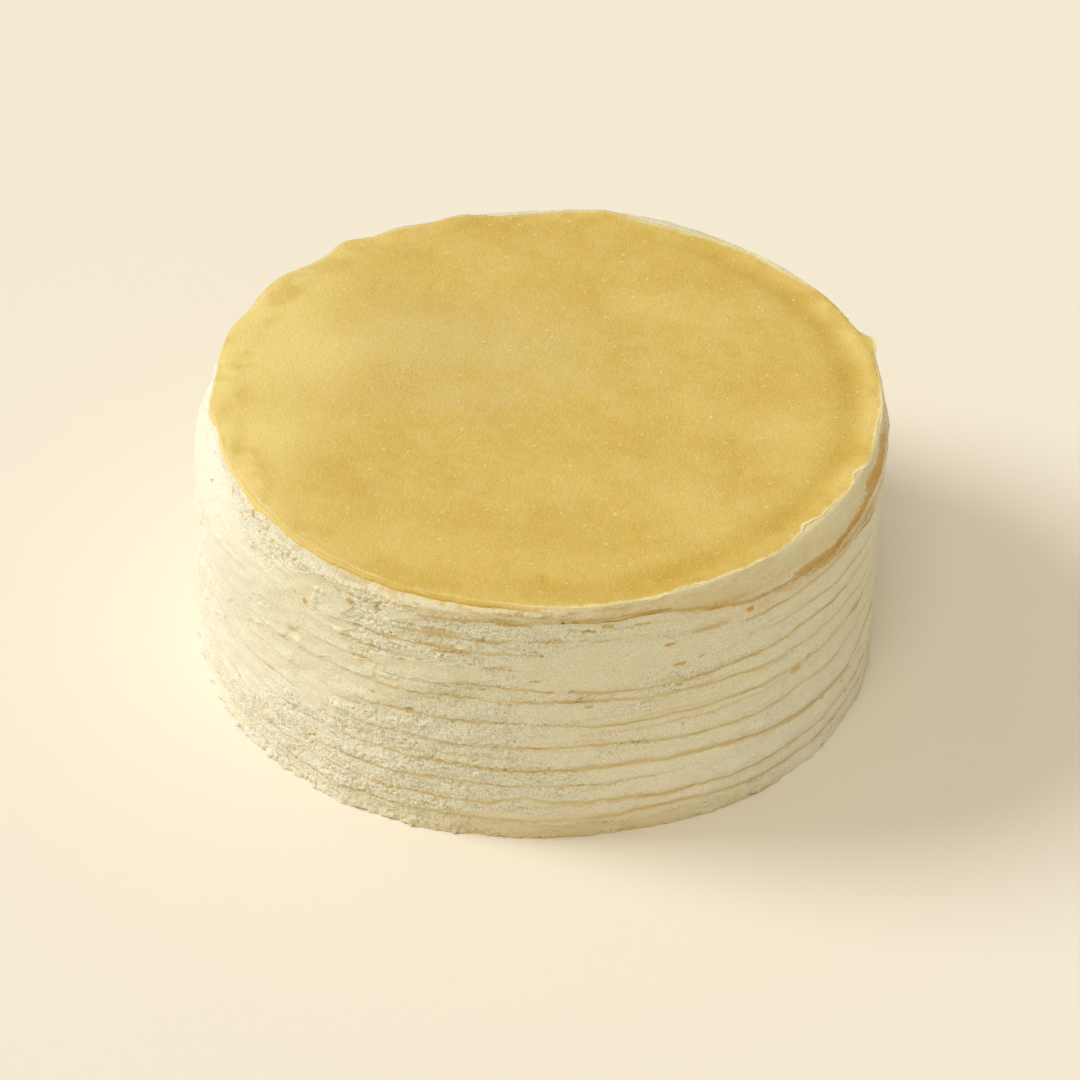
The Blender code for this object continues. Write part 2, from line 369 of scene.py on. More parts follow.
def scraped(height):
    """Relief of the side in millimetres, with the marks its colour and grain depend on.

    Broad lumps and long knife streaks, plus a smooth coat that stands proud of the rest and ends in a
    lifted edge, plus crumbs less pits that are strong where the cream is torn, plus the scraps of
    crepe and the lumps of the tables, less a dent and a hollow at the foot.
    """
    coat, edge = coated(height)
    torn = 0.50 * side_bumps(height, 34, 15, 23) + 0.62 * side_bumps(height, 24, 3.4, 24)
    torn += 0.30 * side_bumps(height, 6, 2.4, 27) + 0.22 * side_bumps(height, 2.5, 1.8, 25) - 0.12
    torn = step(torn + placed(height, TORN), -0.35, 0.50) * (1 - coat)

    relief = 0.45 * side_bumps(height, 36, 30, 1) + 0.52 * side_bumps(height, 14, 8, 2)
    relief += (0.26 + 0.10 * torn) * side_bumps(height, 5.5, 3.4, 3)
    streak = 0.6 * side_bumps(height, 40, 1.5, 5) + 0.4 * side_bumps(height, 16, 0.8, 6)
    relief += 0.30 * coat + 0.15 * edge + (0.09 - 0.05 * torn) * streak

    # Creamier and smoother on the far left, and paler in three wide patches; the one low at the front right
    # is painted light, making up for the shade that falls towards the foot there.
    far_left = (azimuth + 6 * side_bumps(height, 30, 18, 32) - 176) / 40
    far_left = np.exp(-(far_left**4))
    pale = np.maximum((1 - 0.35 * torn) * far_left, 0.70 * around(height, (212, 14), (110, 32)))
    # Painted light low at the front right, against the shade towards the foot.
    pale = np.maximum(pale, 0.80 * around(height, (322, 8), (75, 30)))
    pale = np.maximum(pale, 0.28 * around(height, (334, 48), (60, 40)))
    rough = torn * (1 - 0.45 * far_left)

    # Crumbs: a low dome on each speck, pushed about by finer bumps. Pits: a cone on some specks.
    away, share = side_specks(height, 1.2, 50)
    crumbly = 0.40 - (away / 0.80) ** 2
    crumbly += 0.5 * side_bumps(height, 2.0, 1.3, 10) + 0.5 * side_bumps(height, 0.85, 0.7, 11)
    crumbly = crumbly * (0.55 + 0.75 * step(side_bumps(height, 9, 4, 51), -0.3, 0.4))
    away, share = side_specks(height, 1.7, 12)
    pits = np.clip(1 - away / (0.25 + 0.35 * share), 0, 1) * step(share, 0.3, 0.7)
    sparse = step(side_bumps(height, 10, 7, 13), 0.0, 0.7) * (1 - 0.7 * coat)
    pits = pits * np.maximum(rough, 0.5 * sparse)
    relief += (0.04 + 0.25 * rough - 0.02 * coat) * crumbly - 0.30 * pits
    relief -= 0.9 * np.exp(-((height / 3.5) ** 2)) * beside(277, 48)

    # Scraps of crepe: ragged flakes and dots on a few of the specks, most of them below the left rim.
    cells = round(GIRTH / 8.5)
    away, share = specks(turn * cells, height / 3.2, cells, 14)
    ragged = away * (1 + 0.55 * side_bumps(height, 1.3, 0.9, 15)) + 0.06 * side_bumps(height, 0.8, 0.5, 16)
    under_left_rim = around(height, (226, 80), (50, 6)) + 0.9 * around(height, (196, 74), (28, 9))
    shred = step(-ragged, -0.13, -0.07) * step(share + 0.03 * torn + 0.06 * under_left_rim, 0.972, 0.977)
    away, share = side_specks(height, 3.0, 31)
    dots = step(-away, -0.34, -0.16) * step(share + 0.04 * torn + 0.10 * under_left_rim, 0.955, 0.965)
    shred = np.maximum(shred, 0.9 * dots)
    for *at, half_length, half_height, strength in SHREDS:
        frayed = around(height, at, (half_length, half_height)) + 0.30 * side_bumps(height, 1.2, 0.8, 17)
        shred = np.maximum(shred, strength * step(frayed, 0.30, 0.55))
    relief += 0.08 * np.clip(shred, 0, 1)

    for *at, half_length, half_height, proud in LUMPS:
        lump = around(height, at, (half_length, half_height)) * (1 + 0.8 * side_bumps(height, 1.6, 1.2, 52))
        relief += proud * step(lump, 0.15, 0.75)

    # A dent with a pushed-up edge, left of the front.
    relief -= 1.3 * around(height, (229, 54), (1.7, 1.5))
    relief += 0.45 * around(height, (227.3, 56), (1.8, 1.5))
    # Painted shade in the pits, in the low parts between the crumbs of torn cream and in the dent.
    pitted = np.clip(0.7 * pits + rough * (0.05 - 0.50 * crumbly), 0, 1)
    pitted = np.maximum(pitted, around(height, (229, 54), (1.4, 1.2)))
    return relief, {"torn": rough, "pale": pale, "pitted": pitted, "shred": shred}


seams = np.array([seam_height(layer) for layer in range(LAYERS)])
coat_at_seams = coated(seams)[0]
widths = np.array([seam_width(layer, coat_at_seams[layer]) for layer in range(LAYERS)])
gapes = np.clip(widths, 0, 3.0)


def make_piece(name, points, faces, marks, material):
    """A smooth-shaded mesh from points in millimetres. `faces` are arrays of quads or triangles, and
    each mark is a number for every point, kept under its name for the material to read.
    """
    mesh = bpy.data.meshes.new(name)
    corners = np.concatenate([part.ravel() for part in faces])
    sizes = np.concatenate([np.full(len(part), part.shape[1]) for part in faces])
    mesh.vertices.add(len(points))
    mesh.vertices.foreach_set("co", (points * MM).astype(np.float32).ravel())
    mesh.loops.add(len(corners))
    mesh.loops.foreach_set("vertex_index", corners.astype(np.int32))
    mesh.polygons.add(len(sizes))
    mesh.polygons.foreach_set("loop_start", (np.cumsum(sizes) - sizes).astype(np.int32))
    mesh.update(calc_edges=True)
    for mark, values in marks.items():
        mesh.attributes.new(mark, "FLOAT", "POINT").data.foreach_set("value", values.astype(np.float32))
    mesh.shade_smooth()
    mesh.set_sharp_from_angle(angle=np.radians(55))
    mesh.materials.append(material)
    obj = bpy.data.objects.new(name, mesh)
    bpy.context.scene.collection.objects.link(obj)
    return obj


lane = np.arange(LANES)
after = (lane + 1) % LANES


def ring_points(radius, height):
    """Points from a radius and a height for every ring and lane, turned round the axis by lane."""
    return np.stack([radius * np.cos(angle), radius * np.sin(angle), height], -1).reshape(-1, 3)


def closed_rings(radius, height, low_pole, high_pole):
    """Points and faces of one closed skin, from a radius and a height for every ring and lane.

    The rings run from inside the underside, round the rim, to inside the top. Quads join each ring
    to the next, and a fan of triangles joins the first and last to a pole on the axis.
    """
    points = np.vstack([ring_points(radius, height), (0, 0, low_pole), (0, 0, high_pole)])
    last, low_at = radius.size - LANES, radius.size
    start = np.arange(0, last, LANES)[:, None]
    quads = np.stack([start + lane, start + after, start + LANES + after, start + LANES + lane], -1)
    under = np.stack([after, lane, np.full(LANES, low_at)], -1)
    upper = np.stack([last + lane, last + after, np.full(LANES, low_at + 1)], -1)
    return points, (quads.reshape(-1, 4), np.vstack([under, upper]))


def with_hidden(marks, before, behind):
    """Marks with 0 added for the hidden rings `before` and `behind` the others, and for two poles."""
    low, high = np.zeros(before * LANES), np.zeros(behind * LANES + 2)
    return {mark: np.r_[low, part.ravel(), high] for mark, part in marks.items()}


def linear(colour):
    """An sRGB colour such as #F0E0C0 as linear red, green, blue and alpha: ((c + 0.055) / 1.055)^2.4."""
    parts = np.array([int(colour[i : i + 2], 16) for i in (1, 3, 5)]) / 255
    parts = np.where(parts <= 0.04045, parts / 12.92, ((parts + 0.055) / 1.055) ** 2.4)
    return (*parts.tolist(), 1.0)


def add(tree, kind, links=(), **settings):
    """A node with its settings, and its sockets set to a value or linked to another node's output."""
    made = tree.nodes.new(kind)
    for key, value in settings.items():
        setattr(made, key, value)
    for key, value in links:
        socket = made.inputs[key]
        if isinstance(value, bpy.types.NodeSocket):
            tree.links.new(value, socket)
        else:
            socket.default_value = value
    return made


def new_material(name):
    """An empty material and its node tree."""
    material = bpy.data.materials.new(name)
    material.use_nodes = True
    material.node_tree.nodes.clear()
    return material, material.node_tree


def tilted(tree, along=0.0, stretch=1.0):
    """Object coordinates, tilted so that no grid shows in a pattern, and `stretch` times as long in the
    direction `along`, in degrees from +X.
    """
    where = add(tree, "ShaderNodeTexCoord").outputs["Object"]
    turned = tuple(np.radians((35.0, 25.0, along)).tolist())
    links = (("Vector", where), ("Rotation", turned), ("Scale", (stretch, 1.0, 1.0)))
    return add(tree, "ShaderNodeMapping", links, vector_type="TEXTURE").outputs["Vector"]


def grain(tree, size, detail=2.0, rough=0.55, along=0.0, stretch=1.0):
    """A noise pattern on object coordinates whose lumps are about `size` millimetres."""
    where = tilted(tree, along, stretch)
    links = (("Vector", where), ("Scale", 1 / (size * MM)), ("Detail", detail), ("Roughness", rough))
    return add(tree, "ShaderNodeTexNoise", links).outputs["Fac"]


def how_much(tree, *factors):
    """The product of its factors, each a number, a node's output, the name of one of the piece's marks,
    or one of those with the range that it is stretched from and the range that it is stretched to.
    """
    product = None
    for factor in factors:
        if isinstance(factor, str):
            factor = add(tree, "ShaderNodeAttribute", attribute_name=factor).outputs["Fac"]
        elif isinstance(factor, tuple):
            ends = zip(("From Min", "From Max", "To Min", "To Max"), factor[1:])
            links = (("Value", how_much(tree, factor[0])), *ends)
            factor = add(tree, "ShaderNodeMapRange", links).outputs["Result"]
        if product is not None:
            pair = ((0, product), (1, factor))
            factor = add(tree, "ShaderNodeMath", pair, operation="MULTIPLY").outputs[0]
        product = factor
    return product


def coloured(tree, ground, *coats):
    """A colour with others laid over it in turn, each given with the factors of how much of it shows."""
    tint = linear(ground)
    for colour, *factors in coats:
        links = ((0, how_much(tree, *factors)), (6, tint), (7, linear(colour)))
        tint = add(tree, "ShaderNodeMix", links, data_type="RGBA").outputs[2]
    return tint


def moist_surface(tree, tint, roughness, relief, high, relief_share, spread, far, spread_share):
    """The surface of moist food: `relief` raises bumps `high` millimetres high, and a share of the light
    comes out again some way off, at most `far` millimetres times `spread` for red, green and blue.
    """
    links = (("Strength", relief_share), ("Distance", high * MM), ("Height", relief))
    bump = add(tree, "ShaderNodeBump", links)
    links = (
        ("Base Color", tint),
        ("Roughness", how_much(tree, roughness)),
        ("IOR", 1.42),
        ("Subsurface Weight", spread_share),
        ("Subsurface Radius", spread),
        ("Subsurface Scale", far * MM),
        ("Normal", bump.outputs["Normal"]),
    )
    shader = add(tree, "ShaderNodeBsdfPrincipled", links)
    add(tree, "ShaderNodeOutputMaterial", (("Surface", shader.outputs[0]),))


# Whipped custard cream: soft, dull and finely porous. A little light spreads under its surface.
# Its colour has painted shade, warm and darker, in the low parts of its grain, in the pits and in the
# pores, where air bubbles broke open in the torn cream, and painted highlights on the crumbs. The real
# crumb is finer, about 0.3 mm, and is drawn as coarse as it needs to show.
CREAM, CREAM_PALE, CREAM_TORN = "#E7DCB9", "#F8F0DD", "#F6EDCF"
CREAM_CRUMB_HIGHLIGHT, CREAM_HOLLOW_SHADE, CREAM_PORE_SHADE = "#FFFBE8", "#D4C08A", "#B08F4C"
CREPE_FILM_AND_SHADE, CREPE_TAN, CREPE_SHRED = "#E2CF9C", "#D4AF66", "#D3A44A"
CRUMB_SIZE, PORE_SPACING = 0.48, 1.5
cream_material, tree = new_material("whipped_custard_cream_scraped")
fine = grain(tree, CRUMB_SIZE, 2.0, 0.65)
coarse = how_much(tree, ("torn", 0.0, 1.0, 0.45, 1.0))
pores = add(tree, "ShaderNodeTexVoronoi", (("Vector", tilted(tree)), ("Scale", 1 / (PORE_SPACING * MM))))
pores = how_much(
    tree,
    (pores.outputs["Distance"], 0.10, 0.24, 1.0, 0.0),
    (grain(tree, 5.0, 1.0), 0.50, 0.64, 0.0, 1.0),
    ("torn", 0.2, 0.9, 0.05, 1.0),
)
# Painted shade where the grain and the pores are low and painted highlights where the grain is high, lined
# up with the bumps that the same patterns raise.
tint = coloured(
    tree,
    CREAM,
    (CREAM_TORN, "torn"),
    (CREAM_PALE, "pale"),
    (CREAM_HOLLOW_SHADE, (fine, 0.36, 0.46, 0.80, 0.0), coarse),
    (CREAM_CRUMB_HIGHLIGHT, (fine, 0.50, 0.57, 0.0, 0.95), coarse),
    (CREAM_HOLLOW_SHADE, "pitted", 0.45),
    (CREPE_FILM_AND_SHADE, "film", 0.85),
    (CREPE_TAN, "stain", (grain(tree, 1.1), 0.35, 0.60, 0.45, 1.0)),
    (CREPE_SHRED, "shred", (grain(tree, 0.7), 0.35, 0.60, 0.80, 1.0)),
    (CREAM_PORE_SHADE, pores, 0.6),
)
heights = ((0, how_much(tree, fine, coarse)), (1, how_much(tree, pores, 0.35)))
relief = add(tree, "ShaderNodeMath", heights, operation="SUBTRACT").outputs[0]
roughness = ("torn", 0.0, 1.0, 0.50, 0.65)
moist_surface(tree, tint, roughness, relief, 0.6, 1.0, (1.0, 0.7, 0.4), 0.5, 0.15)

# How much farther out the cream stands above each crepe than below it, where the crepe shows.
seam_steps = np.array([
    0.15 + 0.35 * rim_bumps(60, 600 + layer) + 0.20 * rim_bumps(18, 620 + layer) for layer in range(LAYERS)
]) * step(widths, -0.1, 0.3)

WALL_ROWS = 20
LIP = 0.04  # how far back a layer's edge rolls beside an open line
LIP_REACH = 0.35
CREPE_ROOM = 0.62  # half the height that the cream leaves for a crepe
TUCK = 1.3  # how far a layer's hidden rings lie behind its face
TUCK_DEEPER = 3


def layer_wall(layer, low, high, low_gape, high_gape):
    """Rows of one cream layer's outer face, from `low` to `high`, and their marks.

    The face is the plain side plus its relief. It rolls back by a bell of half-width LIP_REACH
    beside each edge, and hangs a little over the crepe below in a soft ledge that comes and goes.
    """
    share = np.linspace(0, 1, WALL_ROWS)[:, None]
    height = low + (high - low) * share
    relief, marks = scraped(height)
    open_low, open_high = (0.4 + 0.6 * step(gape, 0, 0.4) for gape in (low_gape, high_gape))
    roll = open_low * np.exp(-(((height - low) / LIP_REACH) ** 2))
    roll += open_high * np.exp(-(((high - height) / LIP_REACH) ** 2))
    hangs = step(rim_bumps(26, 350 + layer), -0.1, 0.5)
    ledge = 0.25 + 0.30 * beside(236, 50)
    ledge = ledge * hangs * step(height - low, 0.1, 0.8) * np.exp(-(((height - low) / 1.7) ** 2))
    stand_out = (1 - share) * seam_steps[layer] / 2
    if layer < LAYERS - 1:
        stand_out -= share * seam_steps[layer + 1] / 2
    return height, relief + stand_out - LIP * roll + ledge, marks


def presence(layer):
    """How strongly a crepe's edge tells from the cream in every lane: 1 is bare crepe, 0 all cream. It
    is 0.60 plus bumps of two lengths, and more on the fifth crepe and at the right of the highest.
    """
    bare = 0.45 * (layer == 12) * beside(328, 110) + 0.15 * (layer == 4)
    long_way = 0.55 * rim_bumps(48, 540 + layer) + 0.35 * rim_bumps(13, 560 + layer)
    return np.clip(0.60 + long_way + bare, 0.12, 1)


def seam_stain(height, layer):
    """Tan that the knife smears from a crepe's edge over the cream beside it, fading as a bell, and
    fainter lines alongside, where the crepe is torn or lies double.
    """
    off = height - seams[layer]
    past_edge = np.clip(np.abs(off) - gapes[layer] / 2, 0, None)
    shown = step(widths[layer], -0.6, 0.3)
    smear = np.clip(0.50 + 0.6 * side_bumps(height, 10, 1.2, 300 + layer), 0, 0.9) * presence(layer)
    reach = np.where(off > 0, 1.05, 0.60) * (1 + 0.6 * rim_bumps(15, 320 + layer))
    stain = shown * smear * np.exp(-((past_edge / reach) ** 2))
    for seed, aside in ((400, 1.8), (440, -1.6)):
        second = aside + 0.6 * rim_bumps(24, seed + layer)
        comes = step(rim_bumps(34, seed + 20 + layer), 0.0, 0.6) * shown * (1 - coat_at_seams[layer])
        stain += 0.40 * comes * np.exp(-(((off - second) / 0.32) ** 2))
    return np.clip(stain, 0, 1)


def add_cream(layer):
    """The cream on crepe number `layer`, up to the next crepe. The lowest hides its crepe: it reaches
    down to the foot with a ragged hem, and bulges there in lumps that fade upwards as a bell.
    """
    low, high = seams[layer] + gapes[layer] / 2, seams[layer + 1] - gapes[layer + 1] / 2
    if layer == 0:
        low = 0.06 + 1.3 * np.clip(0.8 * rim_bumps(5, 40) + 0.5 * rim_bumps(1.8, 43), 0, 1)
    height, relief, marks = layer_wall(layer, low, high, gapes[layer], gapes[layer + 1])
    if layer == 0:
        ragged = 0.25 + 1.2 * around(height, (228, 0), (55, 9))
        lumps = np.clip(side_bumps(height, 4.5, 3.0, 41) + 0.25, 0, 1)
        lumps += 0.45 * side_bumps(height, 1.6, 1.4, 42)
        relief += ragged * (0.2 + 1.1 * lumps) * np.exp(-((height / 2.1) ** 2))
    radius = side_radius(height) + relief
    marks["stain"] = np.maximum(seam_stain(height, layer), seam_stain(height, layer + 1))
    marks["stain"] = np.clip(marks["stain"] + smears(height), 0, 1)
    # Painted shade low on the front, where the foot curves under, in the colour of the crepe film.
    marks["film"] = 0.9 * around(height, (277, 0), (55, 9))
    inner = np.minimum(radius[0], radius[-1]) - TUCK
    radius = np.vstack([inner - TUCK_DEEPER, inner, radius, inner, inner - TUCK_DEEPER])
    floor, ceiling = rim_height[layer] + CREPE_ROOM, rim_height[layer + 1] - CREPE_ROOM
    height = np.vstack([floor, floor, height, ceiling, ceiling])
    points, faces = closed_rings(radius, height, level[layer] + CREPE_ROOM, level[layer + 1] - CREPE_ROOM)
    name = f"cream_{layer + 1:02d}"
    piece = make_piece(f"{name}_scraped", points, faces, with_hidden(marks, 2, 2), cream_material)
    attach(piece, "root")
    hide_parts(name)


for layer in range(LAYERS - 1):
    add_cream(layer)

# ------------------------------------------------------------
# The crepes inside the stack. Thin pancakes of egg batter browned in a pan. Only their edges show,
# almost level with the cream and smeared with it.
CREPE_EDGE, CREPE_BROWN, SMEARED = "#DDC27E", "#C59A45", "#E8D9AA"
EDGE_ROWS = 7
CREPE_THICKNESS = 1.2
HALF_THICK = CREPE_THICKNESS / 2
# Fried egg batter at a pancake's edge: matt, soft and finely pored, browner towards its fried faces.
crepe_material, tree = new_material("fried_egg_batter_crepe_edge")
tint = coloured(
    tree,
    CREPE_EDGE,
    (CREPE_BROWN, "fried"),
    (CREPE_BROWN, (grain(tree, 0.6), 0.45, 0.70, 0.0, 0.4)),
    (SMEARED, "smeared"),
)
roughness = (grain(tree, 1.2), 0.4, 0.6, 0.5, 0.65)
moist_surface(tree, tint, roughness, grain(tree, 0.5, 3.0, 0.7), 0.3, 1.0, (1.0, 0.5, 0.2), 0.5, 0.1)


def add_crepe(layer):
    """A crepe's disc. Its edge fills the open line, and stands 0.05 behind the cream where it shows and
    TUCK behind it where it is buried, frayed by fine bumps. The lowest lies flat at the foot.
    """
    share = np.linspace(-1, 1, EDGE_ROWS)[:, None]
    half = np.maximum(HALF_THICK, gapes[layer] / 2 + 0.15)
    height = seams[layer] + share * half
    bare = step(widths[layer], -0.05, 0.15)
    relief = scraped(seams[layer][None, :])[0][0]
    fray = 0.08 * side_bumps(height, 1.5, 0.7, 460 + layer) + 0.06 * side_bumps(height, 6, 3, 480 + layer)
    radius = side_radius(seams[layer]) + relief - TUCK + 1.25 * bare + 0.8 * fray * bare - 0.06 * share**2
    if layer == 0:
        height = HALF_THICK + HALF_THICK * share * np.ones(LANES)
        radius = side_radius(height) - CREAM_OVER_CREPE + fray
    fried = step(side_bumps(height, 11, 1.6, 500 + layer), -0.1, 0.6)
    if layer == LAYERS - 1:
        fried = np.maximum(fried, beside(328, 60))
    smeared = 1 - presence(layer) * (1 - 0.5 * step(side_bumps(height, 5, 0.5, 520 + layer), 0.0, 0.5))
    inner, rim = radius.min(0) - 4, rim_height[layer]
    floor, ceiling = (rim - 0.55, rim + 0.55) if layer else (flat, flat + CREPE_THICKNESS)
    radius, height = np.vstack([inner, radius, inner]), np.vstack([floor, height, ceiling])
    marks = with_hidden({"fried": fried, "smeared": smeared}, 1, 1)
    points, faces = closed_rings(radius, height, level[layer] - HALF_THICK, level[layer] + HALF_THICK)
    name = crepe_names[layer]
    piece = make_piece(f"{name}_fried", points, faces, marks, crepe_material)
    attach(piece, "root")
    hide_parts(name)


for layer in range(LAYERS):
    add_crepe(layer)

# ------------------------------------------------------------
# The shoulder. The last cream layer, drawn in and rounded off up to the top crepe's rim, with a thin
# film of crepe crumbs scraped over it on the right.
top_rim_height, top_rim_radius = rim_of("top_crepe")
top_points, top_distance = solid_points("top_crepe")
top_high = top_points[top_distance < 1, 2].max()
top_low = top_high - CREPE_THICKNESS
FOLD = 0.95  # radius of the top crepe's turned-down edge
FOLD_DROP = 2.3  # how far the rim of its solid hangs below its middle
fold_radius = top_rim_radius - FOLD
fold_height = top_rim_height + HALF_THICK + FOLD_DROP  # top surface where it starts to turn down
SHOULDER_ROWS = 12


def facing(at, low, high):
    """1 where the side faces azimuth `at` and 0 where it faces away: a step of the cosine between them."""
    return step(np.cos(angle - np.radians(at)), low, high)


left, left_back, right_back = (facing(at, 0.2, 0.8) for at in (205, 150, 30))
ragged_rim = facing(-12, 0.05, 0.5)  # 1 where the top crepe ends ragged, 0 where it folds over
shoulder_drop = 1.5 + 1.6 * left + 3.5 * left_back + 1.0 * right_back + 1.6 * ragged_rim
drawn_down = facing(170, 0.3, 0.9)  # 1 where the top crepe's edge is drawn down long before it folds


def all_round(values, x, y):
    """Values kept for the lanes, read at the azimuth of any point x, y."""
    lanes = (np.arctan2(y, x) / (2 * np.pi)) % 1 * LANES
    return np.interp(lanes, np.arange(LANES + 1), np.r_[values, values[0]])


# Where the top crepe's rim reaches farther out: (azimuth, half length, outwards, upwards).
TABS = (
    (16.5, 6.5, 2.9, 0.5),
    (9, 7, 1.8, 0),
    (30, 13, 2.7, 0.5),
    (80, 13, 2, 1.3),
    (107, 8, 1.8, 1.2),
    (118, 10, 1.5, 1),
    (130, 9, 2.6, 1.4),
    (147, 14, 2, 1),
    (163, 12, 1.2, 0.4),
    (187, 5, 0.8, 0),
    (193, 5, -0.8, 0),
)
# Dents in the top: (x, y, half sizes, depth).
DENTS = (
    (-91, -14, 2.4, 5, 0.4),
    (-86, -31, 2.6, 6, 0.5),
    (-65, -66, 5, 3, 0.5),
    (3, -87, 1.7, 1.5, 0.5),
    (39, -84, 6, 3, 0.6),
    (57, -21, 2.2, 1.8, 0.4),
    (32, 22, 1.6, 1.4, 0.25),
    (58, -36, 1.4, 1.4, 0.3),
    (-4, -40, 1.5, 1.2, 0.2),
)


def top_bumps(x, y, size, seed):
    """Bumps over the top, each about `size` across."""
    return bumps(x / size, y / size, 64, seed)


def bell(x, y, at_x, at_y, half_x, half_y):
    """exp(-(a^2 + b^2)) over the top: a and b are the distances from a point over their half sizes."""
    return np.exp(-(((x - at_x) / half_x) ** 2) - ((y - at_y) / half_y) ** 2)


def dents(x, y):
    """Depth of the dents: a bell for each."""
    return sum(depth * bell(x, y, *place) for *place, depth in DENTS)


def top_height(x, y, share):
    """Height of the bare top at x, y, which lies at `share` of the way from the axis to the fold.

    The crepe's middle height, plus the rim's rise and fall growing with the sixth power of the share,
    plus broad undulations, small dents and a shallow trough that runs inside the rim.
    """
    height = top_high + (all_round(fold_height, x, y) - top_high) * share**6
    for size, rise, seed in ((44, 0.30, 501), (17, 0.17, 502), (5.5, 0.05, 503), (2.2, 0.02, 504)):
        height += rise * top_bumps(x, y, size, seed)
    inside = (1 - share) * 100
    depth = 0.25 + all_round(0.45 * ragged_rim + 0.40 * rim_bumps(40, 505), x, y)
    height -= dents(x, y) + depth * np.exp(-(((inside - 8) / 4) ** 2))
    return height - 1.1 * all_round(drawn_down, x, y) * step(-inside, -7, 2)


rim_top = top_height(fold_radius * np.cos(angle), fold_radius * np.sin(angle), flat + 1)
low = seams[-1] + gapes[-1] / 2
shoulder_start = np.maximum(rim_top - shoulder_drop, low + 0.1)
shoulder_end = rim_top - 1.0 + 0.92 * ragged_rim
height, relief, marks = layer_wall(LAYERS - 1, low, shoulder_start, gapes[-1], flat)
wall_radius = side_radius(height) + relief
arc = np.linspace(0, np.pi / 2, SHOULDER_ROWS + 1)[1:, None]
reach_of_shoulder = fold_radius + 0.3
# Round where the crepe folds over it, nearly a flat bevel where it lies open.
bevel = 0.75 * ragged_rim
inwards = (1 - bevel) * (1 - np.cos(arc)) + bevel * arc / (np.pi / 2)
upwards = (1 - bevel) * np.sin(arc) + bevel * arc / (np.pi / 2)
arc_radius = wall_radius[-1] + (reach_of_shoulder - wall_radius[-1]) * inwards
arc_height = shoulder_start + (shoulder_end - shoulder_start) * upwards
arc_relief, arc_marks = scraped(arc_height)
fade = np.cos(arc)
calm = 1 - 0.8 * ragged_rim
arc_radius += (arc_relief - relief[-1]) * fade * calm
arc_height += 0.6 * (arc_relief - 0.2) * np.sin(arc) * fade * calm
# The film of crepe, all over the bare right of the shoulder, and, thinner, at the front the same tan as
# painted shade below the top crepe's fold.
film_and_shade_spread = np.maximum(ragged_rim, 0.75 * beside(272, 60))
film = film_and_shade_spread * (0.85 + 0.35 * side_bumps(arc_height, 16, 2, 45) + 0.25 * side_bumps(arc_height, 4, 0.8, 47))
marks = {mark: np.vstack([part, arc_marks[mark]]) for mark, part in marks.items()}
wall_height = np.vstack([height, arc_height])
# A broken line of painted shadow below the top crepe's folded edge at the front, in the crepe's tan.
below_rim = rim_top - 1.6 - wall_height
shadow_under_fold = step(side_bumps(wall_height, 5, 1.2, 46) + 0.5 * side_bumps(wall_height, 1.6, 0.6, 48), 0.0, 0.35)
shadow_under_fold = shadow_under_fold * np.exp(-((below_rim / 1.7) ** 2)) * beside(262, 75)
marks["stain"] = np.clip(seam_stain(wall_height, LAYERS - 1) + smears(wall_height) + 0.75 * shadow_under_fold, 0, 1)
wall_film_and_shade = film[0] * step(height, shoulder_start - 5.5, shoulder_start - 2.0)
marks["film"] = np.clip(np.vstack([wall_film_and_shade, film]), 0, 1)
inner, floor = wall_radius[0] - TUCK, rim_height[-1] + CREPE_ROOM
# Under the ragged rim the cream comes up close below the top surface; it sinks away farther in.
tuck_radius = fold_radius - 2.4
tuck_height = top_height(tuck_radius * np.cos(angle), tuck_radius * np.sin(angle), tuck_radius / fold_radius)
tuck_height += 0.92 * ragged_rim - 1.1
radius = np.vstack([inner - TUCK_DEEPER, inner, wall_radius, arc_radius, tuck_radius, fold_radius - 6])
height = np.vstack([floor, floor, height, arc_height, tuck_height, rim_top - 3.6])
marks = {mark: np.vstack([part, part[-1]]) for mark, part in marks.items()}
points, faces = closed_rings(radius, height, level[-1] + CREPE_ROOM, top_low - 2.6)
shoulder_name = f"cream_{LAYERS:02d}_shoulder"
shoulder = make_piece(shoulder_name, points, faces, with_hidden(marks, 2, 1), cream_material)
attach(shoulder, "root")
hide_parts(f"cream_{LAYERS:02d}")

# ------------------------------------------------------------
# The top crepe. One whole pancake left bare: golden from egg yolk, finely grained where the batter
# set against the pan. Its rim folds down over the shoulder, or ends there thin, pale and ragged.
TOP_GOLD, TOP_DEEP, TOP_PALE, TOP_RIM = "#E2C268", "#CBA33C", "#EBD48A", "#F8EABC"
TOP_PAINTED_LIGHT, TOP_PAINTED_SHEEN, TOP_PINHOLE = "#F7DC8C", "#DDC384", "#A38A52"
GRID = LANES // 8  # squares a side: the disc's edge then has a point for every second lane
INNER_DISC = 0.9  # share of the fold's radius
RIM_ROWS, FOLD_ROWS, SKIRT_ROWS = 14, 7, 4
FOLD_TURN = np.radians(75)

